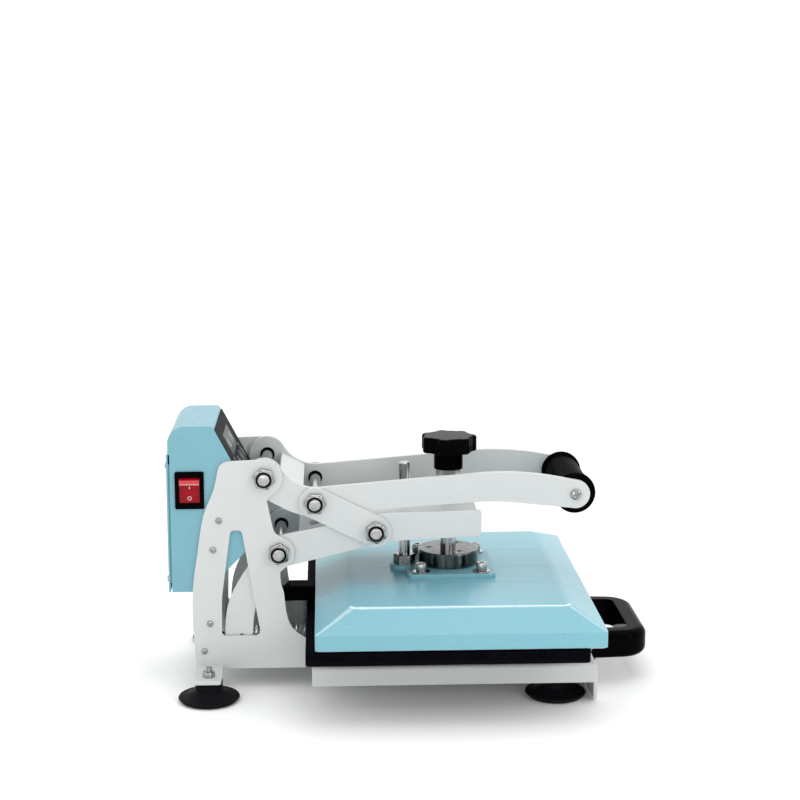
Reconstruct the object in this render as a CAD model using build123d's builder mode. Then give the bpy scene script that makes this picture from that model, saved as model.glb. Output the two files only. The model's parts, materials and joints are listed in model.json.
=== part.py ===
from build123d import *
import os
from math import atan2, cos, degrees, hypot, radians, sin

# Tabletop heat press with a slide-out lower platen. Millimetres, +X to the operator, +Z up.
# Profiles are drawn from the lower pivot axis, which stands BACK from the middle of the machine.

# ---- driving dimensions -------------------------------------------------------------------
BACK = -112.5  # X of the lower pivot axis
LOWER_PIVOT = (0, 120.5)  # lower arms on the side plates
UPPER_PIVOT = (-12, 186.5)  # handle arms on the side plates
CRANK_PIVOT = (31.2, 164.3)  # handle arms to the links
LINK_PIVOT = (83.4, 138.4)  # links to the lower arms
GRIP_CENTRE = (256.3, 168.9)

PLATE_IN, PLATE_OUT = 50.6, 53.6  # side plates and links, half widths
ARM_IN, ARM_OUT = 46.2, 50.2  # handle arms and lower arms, half widths
PIVOT_R = 5.0  # all four pivot shafts
RUN_FIT = 0.05  # radial clearance of a turning or sliding fit
NUT_FLATS, NUT_H = 17.0, 8.0
SHAFT_END = 63.0

FOOT_H = 17.6
SHEET_TOP = 20.6  # top of the foot tabs and of the front foot bar
FOOT_Y = 83.0
REAR_FOOT_X, FRONT_FOOT_X = -60.0, 236.5

BASE_REAR, BASE_FRONT = 28.0, 269.6
BASE_HALF_W, BASE_TOP, BASE_T = 103.0, 34.0, 3.0

BOX_HALF_W, BOX_T = 50.5, 1.5
BOX_REAR, BOX_TOP, BOX_BOTTOM = -93.6, 231.3, 86.0
BOX_WALL_X = -24.0  # front wall of the control box
PANEL_LOW, PANEL_HIGH = (-24.0, 171.6), (-55.3, 231.3)

PLATEN_HALF_W = 155.0
COVER_REAR, COVER_FRONT = 30.8, 269.3
LIP_LOW, LIP_HIGH, PLATEAU = 65.5, 78.8, 92.0
PAD_TOP = 63.9
HEAT_LOW, HEAT_HIGH = 64.2, 74.2

ADAPTER_X, ADAPTER_TOP = 150.3, 96.0
SCREW_X, SCREW_Y = 26.5, 33.0
SPINDLE_X, SPINDLE_R = 149.5, 7.0
GUIDE_X, GUIDE_R = 110.5, 5.0
DISC_R, DISC_TOP = 26.8, 109.6

DRAWER_REAR, DRAWER_FRONT = 23.0, 255.5
HANDLE_FRONT, HANDLE_HALF_W = 323.0, 59.0

HOOK = (-33, 46)  # spring holes in the tails of the lower arms
SPRING_Y, SPRING_R, SPRING_Z = 38.5, 6.6, 46.0
ANCHOR_X = 108.0

os.makedirs("parts", exist_ok=True)


# ---- helpers ------------------------------------------------------------------------------
def upright(y):
    """Plane at Y = y with local axes X (from the lower pivot) and Z; extrudes towards -Y."""
    return Plane(origin=(BACK, y, 0), x_dir=(1, 0, 0), z_dir=(0, -1, 0))


def level(z):
    """Plane at Z = z with local axes X (from the lower pivot) and Y."""
    return Plane(origin=(BACK, 0, z))


def across(x):
    """Plane at X = x from the lower pivot with local axes Y and Z; extrudes towards +X."""
    return Plane(origin=(BACK + x, 0, 0), x_dir=(0, 1, 0), z_dir=(1, 0, 0))


def keep(piece, label):
    """Label one finished piece and write it."""
    piece.part.label = label
    export_step(piece.part, f"parts/{label}.step")


def on_circle(centre, radius, angle):
    """Point of a circle at an angle in degrees."""
    return (centre[0] + radius * cos(radians(angle)), centre[1] + radius * sin(radians(angle)))


def mirrored(piece):
    """The same piece on the other side of the machine."""
    with BuildPart() as other:
        mirror(piece.part, about=Plane.XZ, mode=Mode.ADD)
    return other


def keep_pair(piece, label):
    """Write a piece of the near side and its mirror image."""
    keep(piece, f"{label}_left")
    keep(mirrored(piece), f"{label}_right")


def nyloc_nut(point, half_width):
    """Self-locking nuts on both ends of a shaft, outside a half width."""
    hexagon, height = NUT_FLATS / 2, NUT_H - 2.0
    for side in (-1, 1):
        with BuildSketch(upright(side * half_width)) as flats:
            with Locations(point):
                RegularPolygon(radius=hexagon, side_count=6, major_radius=False, rotation=30)
                Circle(PIVOT_R, mode=Mode.SUBTRACT)
        extrude(flats.sketch, amount=-side * height)
        with BuildSketch(upright(side * (half_width + height))) as collar:
            with Locations(point):
                Circle(hexagon - 0.6)
                Circle(PIVOT_R, mode=Mode.SUBTRACT)
        extrude(collar.sketch, amount=-side * (NUT_H - height))


def shaft(points, half_length):
    """Cross shafts centred on the machine, turned down a little at both ends."""
    turned = 0.8
    with BuildSketch(upright(half_length - turned)) as section:
        with Locations(*points):
            Circle(PIVOT_R)
    extrude(section.sketch, amount=2 * (half_length - turned))
    for side in (-1, 1):
        with BuildSketch(upright(side * (half_length - turned))) as end:
            with Locations(*points):
                Circle(PIVOT_R)
        extrude(end.sketch, amount=-side * turned, taper=40)


def pan_screw(plane, points, head_r, head_h, shank_r, shank_l):
    """Pan-head screws whose heads stand on a plane and whose shanks run behind it."""
    with BuildSketch(plane) as heads:
        with Locations(*points):
            Circle(head_r)
    extrude(heads.sketch, amount=head_h * 0.5)
    with BuildSketch(plane.offset(head_h * 0.5)) as crowns:
        with Locations(*points):
            Circle(head_r)
    extrude(crowns.sketch, amount=head_h * 0.5, taper=35)
    with BuildSketch(plane) as shanks:
        with Locations(*points):
            Circle(shank_r)
    extrude(shanks.sketch, amount=-shank_l)


# ---- side plates with foot tabs -----------------------------------------------------------
UPPER_LOBE, LOWER_LOBE = 15.8, 13.5
BOX_SCREWS = [(-51.0, 149.6), (-56.4, 123.9)]
BRACE_SCREWS = [(-60.0, 58.4), (-65.3, 33.7)]

with BuildPart() as side_plate:
    with BuildSketch(upright(-PLATE_IN)):
        with BuildLine():
            Polyline((-73.0, FOOT_H), (22.0, FOOT_H), (22.9, 44.3))
            Spline(
                (22.9, 44.3), (11.8, 52.6), (6.6, 64.0), (3.4, 87.0), (1.0, 98.5),
                tangents=[(-0.9, 0.45), (-0.1, 1)],
            )
            lower_start = on_circle(LOWER_PIVOT, LOWER_LOBE, -52)
            lower_end = on_circle(LOWER_PIVOT, LOWER_LOBE, 62)
            FilletPolyline((1.0, 98.5), (0.8, 103.6), lower_start, radius=[3])
            ThreePointArc(lower_start, on_circle(LOWER_PIVOT, LOWER_LOBE, 5), lower_end)
            upper_start = on_circle(UPPER_PIVOT, UPPER_LOBE, -50)
            upper_end = on_circle(UPPER_PIVOT, UPPER_LOBE, 90)
            FilletPolyline(lower_end, (-3.9, 137.6), (-10.0, 167.2), upper_start, radius=[9, 2.5])
            ThreePointArc(upper_start, on_circle(UPPER_PIVOT, UPPER_LOBE, 20), upper_end)
            FilletPolyline(upper_end, (-49.6, 200.9), (-53.3, 183.0), radius=[9])
            Spline(
                (-53.3, 183.0), (-62.2, 159.4), (-69.2, 124.0), (-74.2, 90.0), (-75.0, 72.0), (-73.0, FOOT_H),
                tangents=[(-0.21, -1), (0.03, -1)],
            )
        make_face()
        with BuildLine():
            FilletPolyline(
                (-41.2, 141.0), (-49.4, 82.0), (-50.2, 46.8), (-16.0, 46.9), (-21.0, 76.0), (-31.6, 141.0),
                radius=[3.5, 60, 4, 4, 60, 3.5],
                close=True,
            )
        make_face(mode=Mode.SUBTRACT)
        with Locations(UPPER_PIVOT, LOWER_PIVOT):
            Circle(PIVOT_R + 0.1, mode=Mode.SUBTRACT)
        with Locations(*BOX_SCREWS, *BRACE_SCREWS):
            Circle(1.6, mode=Mode.SUBTRACT)
    extrude(amount=PLATE_OUT - PLATE_IN)
    with BuildSketch(level(FOOT_H)):
        with Locations((-61.0, -(PLATE_IN + 95.5) / 2)):
            RectangleRounded(24.0, 95.5 - PLATE_IN, 2.5)
        with Locations((-61.0, -PLATE_IN - 5)):
            Rectangle(24.0, 10.0)
        with Locations((REAR_FOOT_X, -FOOT_Y)):
            Circle(3.1, mode=Mode.SUBTRACT)
    extrude(amount=SHEET_TOP - FOOT_H)
keep_pair(side_plate, "side_plate")

# ---- rear brace between the side plates ---------------------------------------------------
with BuildPart() as rear_brace:
    with BuildSketch(level(28.0)):
        with Locations((-61.5, 0)):
            Rectangle(17.0, 2 * PLATE_IN)
        with Locations((-60.0, 0)):
            Rectangle(15.0, 2 * 48.2, mode=Mode.SUBTRACT)
    extrude(amount=36.0)
    with BuildSketch(upright(PLATE_IN)):
        with Locations(*BRACE_SCREWS):
            Circle(1.6)
    extrude(amount=2 * PLATE_IN, mode=Mode.SUBTRACT)
keep(rear_brace, "rear_brace")

# ---- base plate: folded sheet with side flanges and a deep front lip ----------------------
LIP_BOTTOM = 1.5
with BuildPart() as base_plate:
    base_length = BASE_FRONT - BASE_REAR
    base_middle = (BASE_FRONT + BASE_REAR) / 2
    with BuildSketch(level(FOOT_H)):
        with Locations((base_middle, 0)):
            Rectangle(base_length, 2 * BASE_HALF_W)
    extrude(amount=BASE_TOP - FOOT_H)
    with BuildSketch(across(BASE_FRONT - BASE_T)):
        with Locations((0, (LIP_BOTTOM + BASE_TOP) / 2)):
            Rectangle(2 * BASE_HALF_W, BASE_TOP - LIP_BOTTOM)
    extrude(amount=BASE_T)
    outer = base_plate.edges().group_by(Axis.Z)[-1]
    fillet(outer.filter_by(Axis.X) + outer.filter_by(Axis.Y).sort_by(Axis.X)[-1:], 3.5)
    lip_corners = base_plate.edges().filter_by(Axis.X).group_by(Axis.Z)[0]
    fillet(lip_corners, 7.0)
    with BuildSketch(level(FOOT_H)):
        with Locations((base_middle - BASE_T / 2, 0)):
            Rectangle(base_length - BASE_T, 2 * (BASE_HALF_W - BASE_T))
    extrude(amount=BASE_TOP - BASE_T - FOOT_H, mode=Mode.SUBTRACT)
keep(base_plate, "base_plate")

# ---- floor channel that ties the side plates to the base ----------------------------------
CHANNEL_REAR, CHANNEL_FRONT = -52.0, 222.0
with BuildPart() as floor_channel:
    with BuildSketch(level(FOOT_H)):
        with Locations(((CHANNEL_REAR + CHANNEL_FRONT) / 2, 0)):
            Rectangle(CHANNEL_FRONT - CHANNEL_REAR, 2 * PLATE_IN)
    extrude(amount=2.5)
    for inner_side in (-48.2, PLATE_IN):
        with BuildSketch(upright(inner_side)):
            with BuildLine():
                Polyline(
                    (CHANNEL_REAR, FOOT_H), (CHANNEL_FRONT, FOOT_H), (CHANNEL_FRONT, BASE_TOP - BASE_T),
                    (BASE_REAR + 2, BASE_TOP - BASE_T), (BASE_REAR - 6, 27.5), (CHANNEL_REAR, 27.5),
                    close=True,
                )
            make_face()
        extrude(amount=PLATE_IN - 48.2)
    with BuildSketch(upright(21.5)):
        with BuildLine():
            FilletPolyline(
                (CHANNEL_REAR, FOOT_H), (CHANNEL_REAR, 40.0), (-30.0, 60.0), (20.0, 60.0), (20.0, FOOT_H),
                radius=[0, 6, 10, 4, 0], close=True,
            )
        make_face()
    extrude(amount=2.5)
keep(floor_channel, "floor_channel")

# ---- front foot bar under the base --------------------------------------------------------
with BuildPart() as front_foot_bar:
    bar_half_w = BASE_HALF_W - BASE_T
    with BuildSketch(upright(bar_half_w)):
        with Locations((FRONT_FOOT_X, (FOOT_H + BASE_TOP - BASE_T) / 2)):
            Rectangle(23.0, BASE_TOP - BASE_T - FOOT_H)
        with Locations((FRONT_FOOT_X, (SHEET_TOP + BASE_TOP - BASE_T) / 2)):
            Rectangle(18.0, BASE_TOP - BASE_T - SHEET_TOP, mode=Mode.SUBTRACT)
    extrude(amount=2 * bar_half_w)
    with BuildSketch(level(FOOT_H)):
        with Locations((FRONT_FOOT_X, FOOT_Y), (FRONT_FOOT_X, -FOOT_Y)):
            Circle(3.1)
    extrude(amount=SHEET_TOP - FOOT_H, mode=Mode.SUBTRACT)
keep(front_foot_bar, "front_foot_bar")

# ---- suction feet, bolts and nuts ---------------------------------------------------------
FEET = [(x, y) for x in (REAR_FOOT_X, FRONT_FOOT_X) for y in (-FOOT_Y, FOOT_Y)]
with BuildPart() as foot:
    with BuildSketch(Plane.XZ):
        with BuildLine():
            Polyline((0, 3.4), (3.0, 3.4), (3.0, FOOT_H), (11.8, FOOT_H), (11.8, 9.4))
            ThreePointArc((11.8, 9.4), (17.2, 6.2), (25.6, 4.2))
            Polyline((25.6, 4.2), (26.1, 3.2), (23.0, 0.0), (21.4, 0.0))
            ThreePointArc((21.4, 0.0), (12.0, 1.9), (3.0, 2.4))
            Polyline((3.0, 2.4), (0, 2.4), (0, 3.4))
        make_face()
    revolve(axis=Axis.Z)
with BuildPart() as suction_feet:
    with Locations(*[(BACK + x, y, 0) for x, y in FEET]):
        add(foot.part)
keep(suction_feet, "suction_feet")

with BuildPart() as foot_bolts:
    with BuildSketch(level(3.5)):
        with Locations(*FEET):
            Circle(3.0)
    extrude(amount=31.0 - 3.5 - 1.5)
    with BuildSketch(level(SHEET_TOP)):
        with Locations(*FEET):
            RegularPolygon(radius=5.0, side_count=6, major_radius=False)
            Circle(3.0, mode=Mode.SUBTRACT)
    extrude(amount=5.0)
keep(foot_bolts, "foot_bolts")

# ---- frame screws -------------------------------------------------------------------------
COVER_X = BOX_REAR + 0.1  # rear cover's inner face
COVER_SCREWS = [(-42.0, 196.0), (42.0, 196.0), (-42.0, 96.0), (42.0, 96.0)]
REAR_PLANE = Plane(origin=(BACK + COVER_X - BOX_T, 0, 0), x_dir=(0, -1, 0), z_dir=(-1, 0, 0))
with BuildPart() as frame_screws:
    pan_screw(upright(-PLATE_OUT), BOX_SCREWS + BRACE_SCREWS, 2.8, 2.0, 1.5, 6.6)
    mirror(about=Plane.XZ)
    pan_screw(REAR_PLANE, COVER_SCREWS, 2.8, 1.8, 1.5, 5.0)
keep(frame_screws, "frame_screws")

# ---- pivot shafts and nuts ----------------------------------------------------------------
with BuildPart() as frame_pivot_shafts:
    shaft([UPPER_PIVOT, LOWER_PIVOT], SHAFT_END)
keep(frame_pivot_shafts, "frame_pivot_shafts")

with BuildPart() as crank_pivot_shaft:
    shaft([CRANK_PIVOT], ARM_OUT)
keep(crank_pivot_shaft, "crank_pivot_shaft")

with BuildPart() as frame_pivot_nuts:
    nyloc_nut(UPPER_PIVOT, PLATE_OUT)
    nyloc_nut(LOWER_PIVOT, PLATE_OUT)
keep(frame_pivot_nuts, "frame_pivot_nuts")

with BuildPart() as link_pivot_shaft:
    shaft([LINK_PIVOT], SHAFT_END)
    nyloc_nut(LINK_PIVOT, PLATE_OUT + 0.1)
keep(link_pivot_shaft, "link_pivot_shaft")

with BuildPart() as link_end_bolts:
    for side in (-1, 1):
        with BuildSketch(upright(side * (ARM_OUT + 0.3))):
            with Locations(CRANK_PIVOT):
                Circle(PIVOT_R)
        extrude(amount=-side * (SHAFT_END - ARM_OUT - 0.3))
    nyloc_nut(CRANK_PIVOT, PLATE_OUT)
keep(link_end_bolts, "link_end_bolts")

# ---- links --------------------------------------------------------------------------------
LINK_R = 13.4
link_run, link_drop = LINK_PIVOT[0] - CRANK_PIVOT[0], LINK_PIVOT[1] - CRANK_PIVOT[1]
link_length, link_angle = hypot(link_run, link_drop), degrees(atan2(link_drop, link_run))
link_middle = (CRANK_PIVOT[0] + link_run / 2, CRANK_PIVOT[1] + link_drop / 2)

with BuildPart() as link:
    with BuildSketch(upright(-PLATE_IN)):
        with Locations(link_middle):
            SlotCenterToCenter(link_length, 2 * LINK_R, rotation=link_angle)
        with Locations(LINK_PIVOT, CRANK_PIVOT):
            Circle(PIVOT_R + RUN_FIT, mode=Mode.SUBTRACT)
    extrude(amount=PLATE_OUT - PLATE_IN)
keep_pair(link, "link")

# ---- lower arms with spring tails ---------------------------------------------------------
with BuildPart() as lower_arm:
    with BuildSketch(upright(-ARM_IN)):
        with Locations(LOWER_PIVOT):
            Circle(14.0)
        with BuildLine():
            FilletPolyline(
                (-2.9, 134.2), (92.0, 154.2), (174.9, 155.6), (174.9, 132.8), (92.0, 128.9), (3.9, 107.0),
                LOWER_PIVOT,
                radius=[0, 45, 3, 4, 60, 0, 0],
                close=True,
            )
        make_face()
        with BuildLine():
            tail_top = on_circle(LOWER_PIVOT, 14.0, 140)
            tail_ends = [(-0.64, -0.77), (-0.03, -1)]
            Spline(tail_top, (-27.4, 107.3), (-41.2, 83.3), (-47.2, 52.0), tangents=tail_ends)
            FilletPolyline((-47.2, 52.0), (-46.6, 39.6), (-24.6, 35.2), (-23.0, 56.0), radius=[6, 6])
            Spline((-23.0, 56.0), (-17.0, 84.0), (-6.0, 108.0), tangents=[(0.08, 1), (0.45, 0.9)])
            Polyline((-6.0, 108.0), LOWER_PIVOT, tail_top)
        make_face()
        with Locations(LOWER_PIVOT, LINK_PIVOT):
            Circle(PIVOT_R + RUN_FIT, mode=Mode.SUBTRACT)
        with Locations(HOOK):
            Circle(2.2, mode=Mode.SUBTRACT)
    extrude(amount=ARM_OUT - ARM_IN)
keep_pair(lower_arm, "lower_arm")

# ---- web and cross block between the lower arms -------------------------------------------
WEB_TOP, WEB_T = 152.8, 2.5
with BuildPart() as arm_web:
    with BuildSketch(upright(ARM_IN)):
        with BuildLine():
            folded = Polyline((17.3, 137.4), (90.0, WEB_TOP), (172.0, WEB_TOP))
            offset(folded, amount=WEB_T, side=Side.RIGHT)
        make_face()
    extrude(amount=2 * ARM_IN)
    with BuildSketch(level(WEB_TOP)):
        with Locations((SPINDLE_X, 0)):
            Circle(SPINDLE_R + 1.0)
        with Locations((GUIDE_X, 0)):
            Circle(8.0)
    extrude(amount=-6.0, mode=Mode.SUBTRACT)
    with BuildSketch(level(WEB_TOP)):
        with Locations((31.0, -22.0), (31.0, 22.0)):
            SlotOverall(24.0, 9.0, rotation=90)
    extrude(amount=-20.0, mode=Mode.SUBTRACT)
keep(arm_web, "arm_web")

with BuildPart() as spindle_block:
    with BuildSketch(level(WEB_TOP - WEB_T - 15.0)):
        with Locations((SPINDLE_X, 0)):
            Rectangle(26.0, 2 * ARM_IN)
            Circle(SPINDLE_R + RUN_FIT, mode=Mode.SUBTRACT)
    extrude(amount=15.0)
keep(spindle_block, "spindle_block")

with BuildPart() as guide_bush:
    with BuildSketch(level(WEB_TOP - 14.0)):
        with Locations((GUIDE_X, 0)):
            Circle(7.9)
            Circle(GUIDE_R + RUN_FIT, mode=Mode.SUBTRACT)
    extrude(amount=17.0)
    chamfer(guide_bush.edges().group_by(Axis.Z)[-1].sort_by(SortBy.LENGTH)[-1], 0.8)
keep(guide_bush, "guide_bush")

# ---- handle arms --------------------------------------------------------------------------
HANDLE_END_R, HANDLE_TIP_R = 16.4, 12.3
with BuildPart() as handle_arm:
    with BuildSketch(upright(-ARM_IN)):
        with BuildLine():
            top_start = on_circle(UPPER_PIVOT, HANDLE_END_R, 30)
            low_start = on_circle(UPPER_PIVOT, HANDLE_END_R, -118)
            top_end = on_circle(GRIP_CENTRE, HANDLE_TIP_R, 79)
            low_end = on_circle(GRIP_CENTRE, HANDLE_TIP_R, -96)
            FilletPolyline(top_start, (13.4, 175.3), (205.0, 191.0), top_end, radius=[34, 250])
            ThreePointArc(top_end, on_circle(GRIP_CENTRE, HANDLE_TIP_R, -10), low_end)
            FilletPolyline(
                low_end, (186.0, 164.0), (66.0, 155.9), (23.5, 149.1), low_start, radius=[200, 100, 60]
            )
            ThreePointArc(low_start, on_circle(UPPER_PIVOT, HANDLE_END_R, 136), top_start)
        make_face()
        with Locations(UPPER_PIVOT):
            Circle(PIVOT_R + RUN_FIT, mode=Mode.SUBTRACT)
        with Locations(CRANK_PIVOT):
            Circle(PIVOT_R + RUN_FIT, mode=Mode.SUBTRACT)
        with Locations(GRIP_CENTRE):
            Circle(2.6, mode=Mode.SUBTRACT)
    extrude(amount=ARM_OUT - ARM_IN)
keep_pair(handle_arm, "handle_arm")

with BuildPart() as bridge_plate:
    with BuildSketch(upright(ARM_IN)):
        with BuildLine():
            Polyline((1.5, 188.0), (21.5, 177.0), (20.1, 174.4), (0.1, 185.4), close=True)
        make_face()
    extrude(amount=2 * ARM_IN)
keep(bridge_plate, "bridge_plate")

# ---- grip ---------------------------------------------------------------------------------
GRIP_R, FLANGE_R, FLANGE_W = 15.6, 17.8, 5.0
grip_half = ARM_IN - 0.2
with BuildPart() as grip:
    with BuildSketch(upright(grip_half)):
        with Locations(GRIP_CENTRE):
            Circle(GRIP_R)
    extrude(amount=2 * grip_half)
    for start in (grip_half, FLANGE_W - grip_half):
        with BuildSketch(upright(start)):
            with Locations(GRIP_CENTRE):
                Circle(FLANGE_R)
        extrude(amount=FLANGE_W)
    fillet(grip.edges().filter_by(GeomType.CIRCLE).sort_by(SortBy.RADIUS)[-4:], 1.2)
    with BuildSketch(upright(grip_half)):
        with Locations(GRIP_CENTRE):
            Circle(6.1)
    extrude(amount=2 * grip_half, mode=Mode.SUBTRACT)
keep(grip, "grip")

with BuildPart() as grip_tube:
    with BuildSketch(upright(ARM_IN)):
        with Locations(GRIP_CENTRE):
            Circle(6.0)
            Circle(2.6, mode=Mode.SUBTRACT)
    extrude(amount=2 * ARM_IN)
keep(grip_tube, "grip_tube")

with BuildPart() as grip_screws:
    pan_screw(upright(-ARM_OUT), [GRIP_CENTRE], 4.8, 3.2, 2.5, 24.0)
    mirror(about=Plane.XZ)
keep(grip_screws, "grip_screws")

# ---- control box --------------------------------------------------------------------------
BOX_OUTLINE = [
    (BOX_REAR, BOX_BOTTOM), (BOX_WALL_X - 39.7, BOX_BOTTOM), (BOX_WALL_X, BOX_BOTTOM + 39.7),
    PANEL_LOW, PANEL_HIGH, (BOX_REAR, BOX_TOP),
]
COVER_TOP = 206.8  # top of the removable rear cover
SWITCH_C, SWITCH_OPEN = (-75.5, 176.0), (19.6, 27.6)
INLET_Z = 161.5
panel_slope = degrees(atan2(PANEL_HIGH[1] - PANEL_LOW[1], PANEL_HIGH[0] - PANEL_LOW[0]))
panel_centre = ((PANEL_LOW[0] + PANEL_HIGH[0]) / 2, (PANEL_LOW[1] + PANEL_HIGH[1]) / 2)
panel_normal = (sin(radians(panel_slope)), 0, -cos(radians(panel_slope)))
BUTTONS = {"mode": (-31, -12), "down": (-12, -12), "up": (12, -12), "start": (31, -12)}
BUTTON_R, BUTTON_TRAVEL = 4.4, 0.8
WINDOW_C, WINDOW_W, WINDOW_H = (0, 9), 52.0, 20.0


def panel(rise):
    """Plane parallel to the sloped front at a height above its surface; local axes Y and up the slope."""
    x = BACK + panel_centre[0] + rise * panel_normal[0]
    z = panel_centre[1] + rise * panel_normal[2]
    return Plane(origin=(x, 0, z), x_dir=(0, 1, 0), z_dir=panel_normal)


with BuildPart() as control_box:
    with BuildSketch(upright(BOX_HALF_W)):
        with BuildLine():
            FilletPolyline(*BOX_OUTLINE, radius=[2, 3, 3, 3, 3.5, 15], close=True)
        make_face()
    extrude(amount=2 * BOX_HALF_W)
    with BuildSketch(upright(BOX_HALF_W - BOX_T)):
        with BuildLine():
            FilletPolyline(*BOX_OUTLINE, radius=[2, 3, 3, 3, 3.5, 15], close=True)
        make_face()
        offset(amount=-BOX_T, mode=Mode.REPLACE)
    extrude(amount=2 * (BOX_HALF_W - BOX_T), mode=Mode.SUBTRACT)
    with BuildSketch(across(BOX_REAR - 1)):
        with Locations((0, (BOX_BOTTOM + COVER_TOP) / 2)):
            Rectangle(2 * BOX_HALF_W, COVER_TOP - BOX_BOTTOM)
    extrude(amount=1 + BOX_T, mode=Mode.SUBTRACT)
    with BuildSketch(upright(-BOX_HALF_W + BOX_T)):
        with Locations(SWITCH_C):
            Rectangle(*SWITCH_OPEN)
    extrude(amount=2 * BOX_T, mode=Mode.SUBTRACT)
    with BuildSketch(upright(BOX_HALF_W)):
        with Locations(*BOX_SCREWS):
            Circle(1.6)
    extrude(amount=2 * BOX_HALF_W, mode=Mode.SUBTRACT)
    with BuildSketch(panel(0)):
        with Locations(*BUTTONS.values()):
            Circle(BUTTON_R + 0.3)
        with Locations(WINDOW_C):
            Rectangle(WINDOW_W + 0.2, WINDOW_H + 0.2)
    extrude(amount=-3.0, mode=Mode.SUBTRACT)
keep(control_box, "control_box")

with BuildPart() as rear_cover:
    cover_h = COVER_TOP - BOX_BOTTOM - 0.6
    with BuildSketch(across(COVER_X)):
        with Locations((0, BOX_BOTTOM + cover_h / 2)):
            RectangleRounded(2 * BOX_HALF_W, cover_h, 1.0)
    extrude(amount=-BOX_T)
    for y in (-48.0, 48.0):
        with BuildSketch(level(BOX_BOTTOM + 8)):
            with Locations((COVER_X + 4, y)):
                Rectangle(8.0, 1.6)
        extrude(amount=cover_h - 16)
    with BuildSketch(across(COVER_X)):
        with Locations((0, INLET_Z)):
            Rectangle(20.4, 27.4)
        with Locations((0, 112.0)):
            with GridLocations(0, 7.0, 1, 5):
                SlotOverall(46.0, 3.0)
        with Locations(*COVER_SCREWS):
            Circle(1.6)
    extrude(amount=-BOX_T, mode=Mode.SUBTRACT)
keep(rear_cover, "rear_cover")

with BuildPart() as power_inlet:
    with BuildSketch(REAR_PLANE):
        with Locations((0, INLET_Z)):
            RectangleRounded(24.5, 31.0, 2.0)
    extrude(amount=2.9)
    with BuildSketch(REAR_PLANE):
        with Locations((0, INLET_Z)):
            Rectangle(20.0, 27.0)
    extrude(amount=-22.0)
    with BuildSketch(REAR_PLANE.offset(2.9)):
        with Locations((0, INLET_Z)):
            Rectangle(16.0, 23.0)
    extrude(amount=-18.0, mode=Mode.SUBTRACT)
    with BuildSketch(REAR_PLANE.offset(-15.1)):
        with Locations((-3.0, INLET_Z - 7.0), (-3.0, INLET_Z + 7.0), (3.5, INLET_Z)):
            Rectangle(4.0, 2.0)
    extrude(amount=14.0)
keep(power_inlet, "power_inlet")

# ---- control panel ------------------------------------------------------------------------
OVERLAY_T, OVERLAY_LEN = 0.8, 60.0
with BuildPart() as panel_overlay:
    with BuildSketch(panel(0)):
        RectangleRounded(2 * BOX_HALF_W - 0.8, OVERLAY_LEN, 1.5)
        with Locations(*BUTTONS.values()):
            Circle(BUTTON_R + 0.3, mode=Mode.SUBTRACT)
        with Locations(WINDOW_C):
            Rectangle(WINDOW_W + 0.2, WINDOW_H + 0.2, mode=Mode.SUBTRACT)
    extrude(amount=OVERLAY_T)
keep(panel_overlay, "panel_overlay")

with BuildPart() as display_window:
    with BuildSketch(panel(OVERLAY_T)):
        with Locations(WINDOW_C):
            Rectangle(WINDOW_W, WINDOW_H)
    extrude(amount=-2.3)
    with BuildSketch(panel(-BOX_T)):
        with Locations(WINDOW_C):
            Rectangle(WINDOW_W + 4, WINDOW_H + 4)
    extrude(amount=-2.0)
keep(display_window, "display_window")

for name, spot in BUTTONS.items():
    with BuildPart() as button:
        with BuildSketch(panel(-4.4)):
            with Locations(spot):
                Circle(BUTTON_R)
        extrude(amount=4.4 + OVERLAY_T + 1.0)
        rims = button.edges().filter_by(GeomType.CIRCLE)
        fillet(rims.sort_by(Axis(panel(0).origin, panel_normal))[-1], 0.7)
        with BuildSketch(panel(-4.4)):
            with Locations(spot):
                Circle(BUTTON_R + 1.2)
        extrude(amount=1.2)
    keep(button, f"{name}_button")

with BuildPart() as control_board:
    with BuildSketch(panel(-7.4)):
        Rectangle(88.0, 44.0)
    extrude(amount=-1.6)
    with BuildSketch(panel(-7.4)):
        with Locations(*BUTTONS.values()):
            Rectangle(6.0, 6.0)
        with Locations(WINDOW_C):
            Rectangle(48.0, 16.0)
    extrude(amount=2.0)
keep(control_board, "control_board")

# ---- mains switch on the near side --------------------------------------------------------
ROCKER_AXIS_Y, ROCKER_R, ROCKER_TILT = -(BOX_HALF_W - 1.5), 11.3, 10.0
with BuildPart() as switch_bezel:
    with BuildSketch(upright(-BOX_HALF_W)):
        with Locations(SWITCH_C):
            RectangleRounded(24.7, 32.4, 1.5)
    extrude(amount=2.4)
    fillet(switch_bezel.faces().sort_by(Axis.Y)[0].edges(), 0.8)
    with BuildSketch(upright(-BOX_HALF_W)):
        with Locations(SWITCH_C):
            Rectangle(SWITCH_OPEN[0] - 0.2, SWITCH_OPEN[1] - 0.2)
    extrude(amount=-20.0)
    with BuildSketch(upright(-BOX_HALF_W - 2.4)):
        with Locations(SWITCH_C):
            Rectangle(18.1, 23.4)
    extrude(amount=-16.0, mode=Mode.SUBTRACT)
keep(switch_bezel, "switch_bezel")

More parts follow.
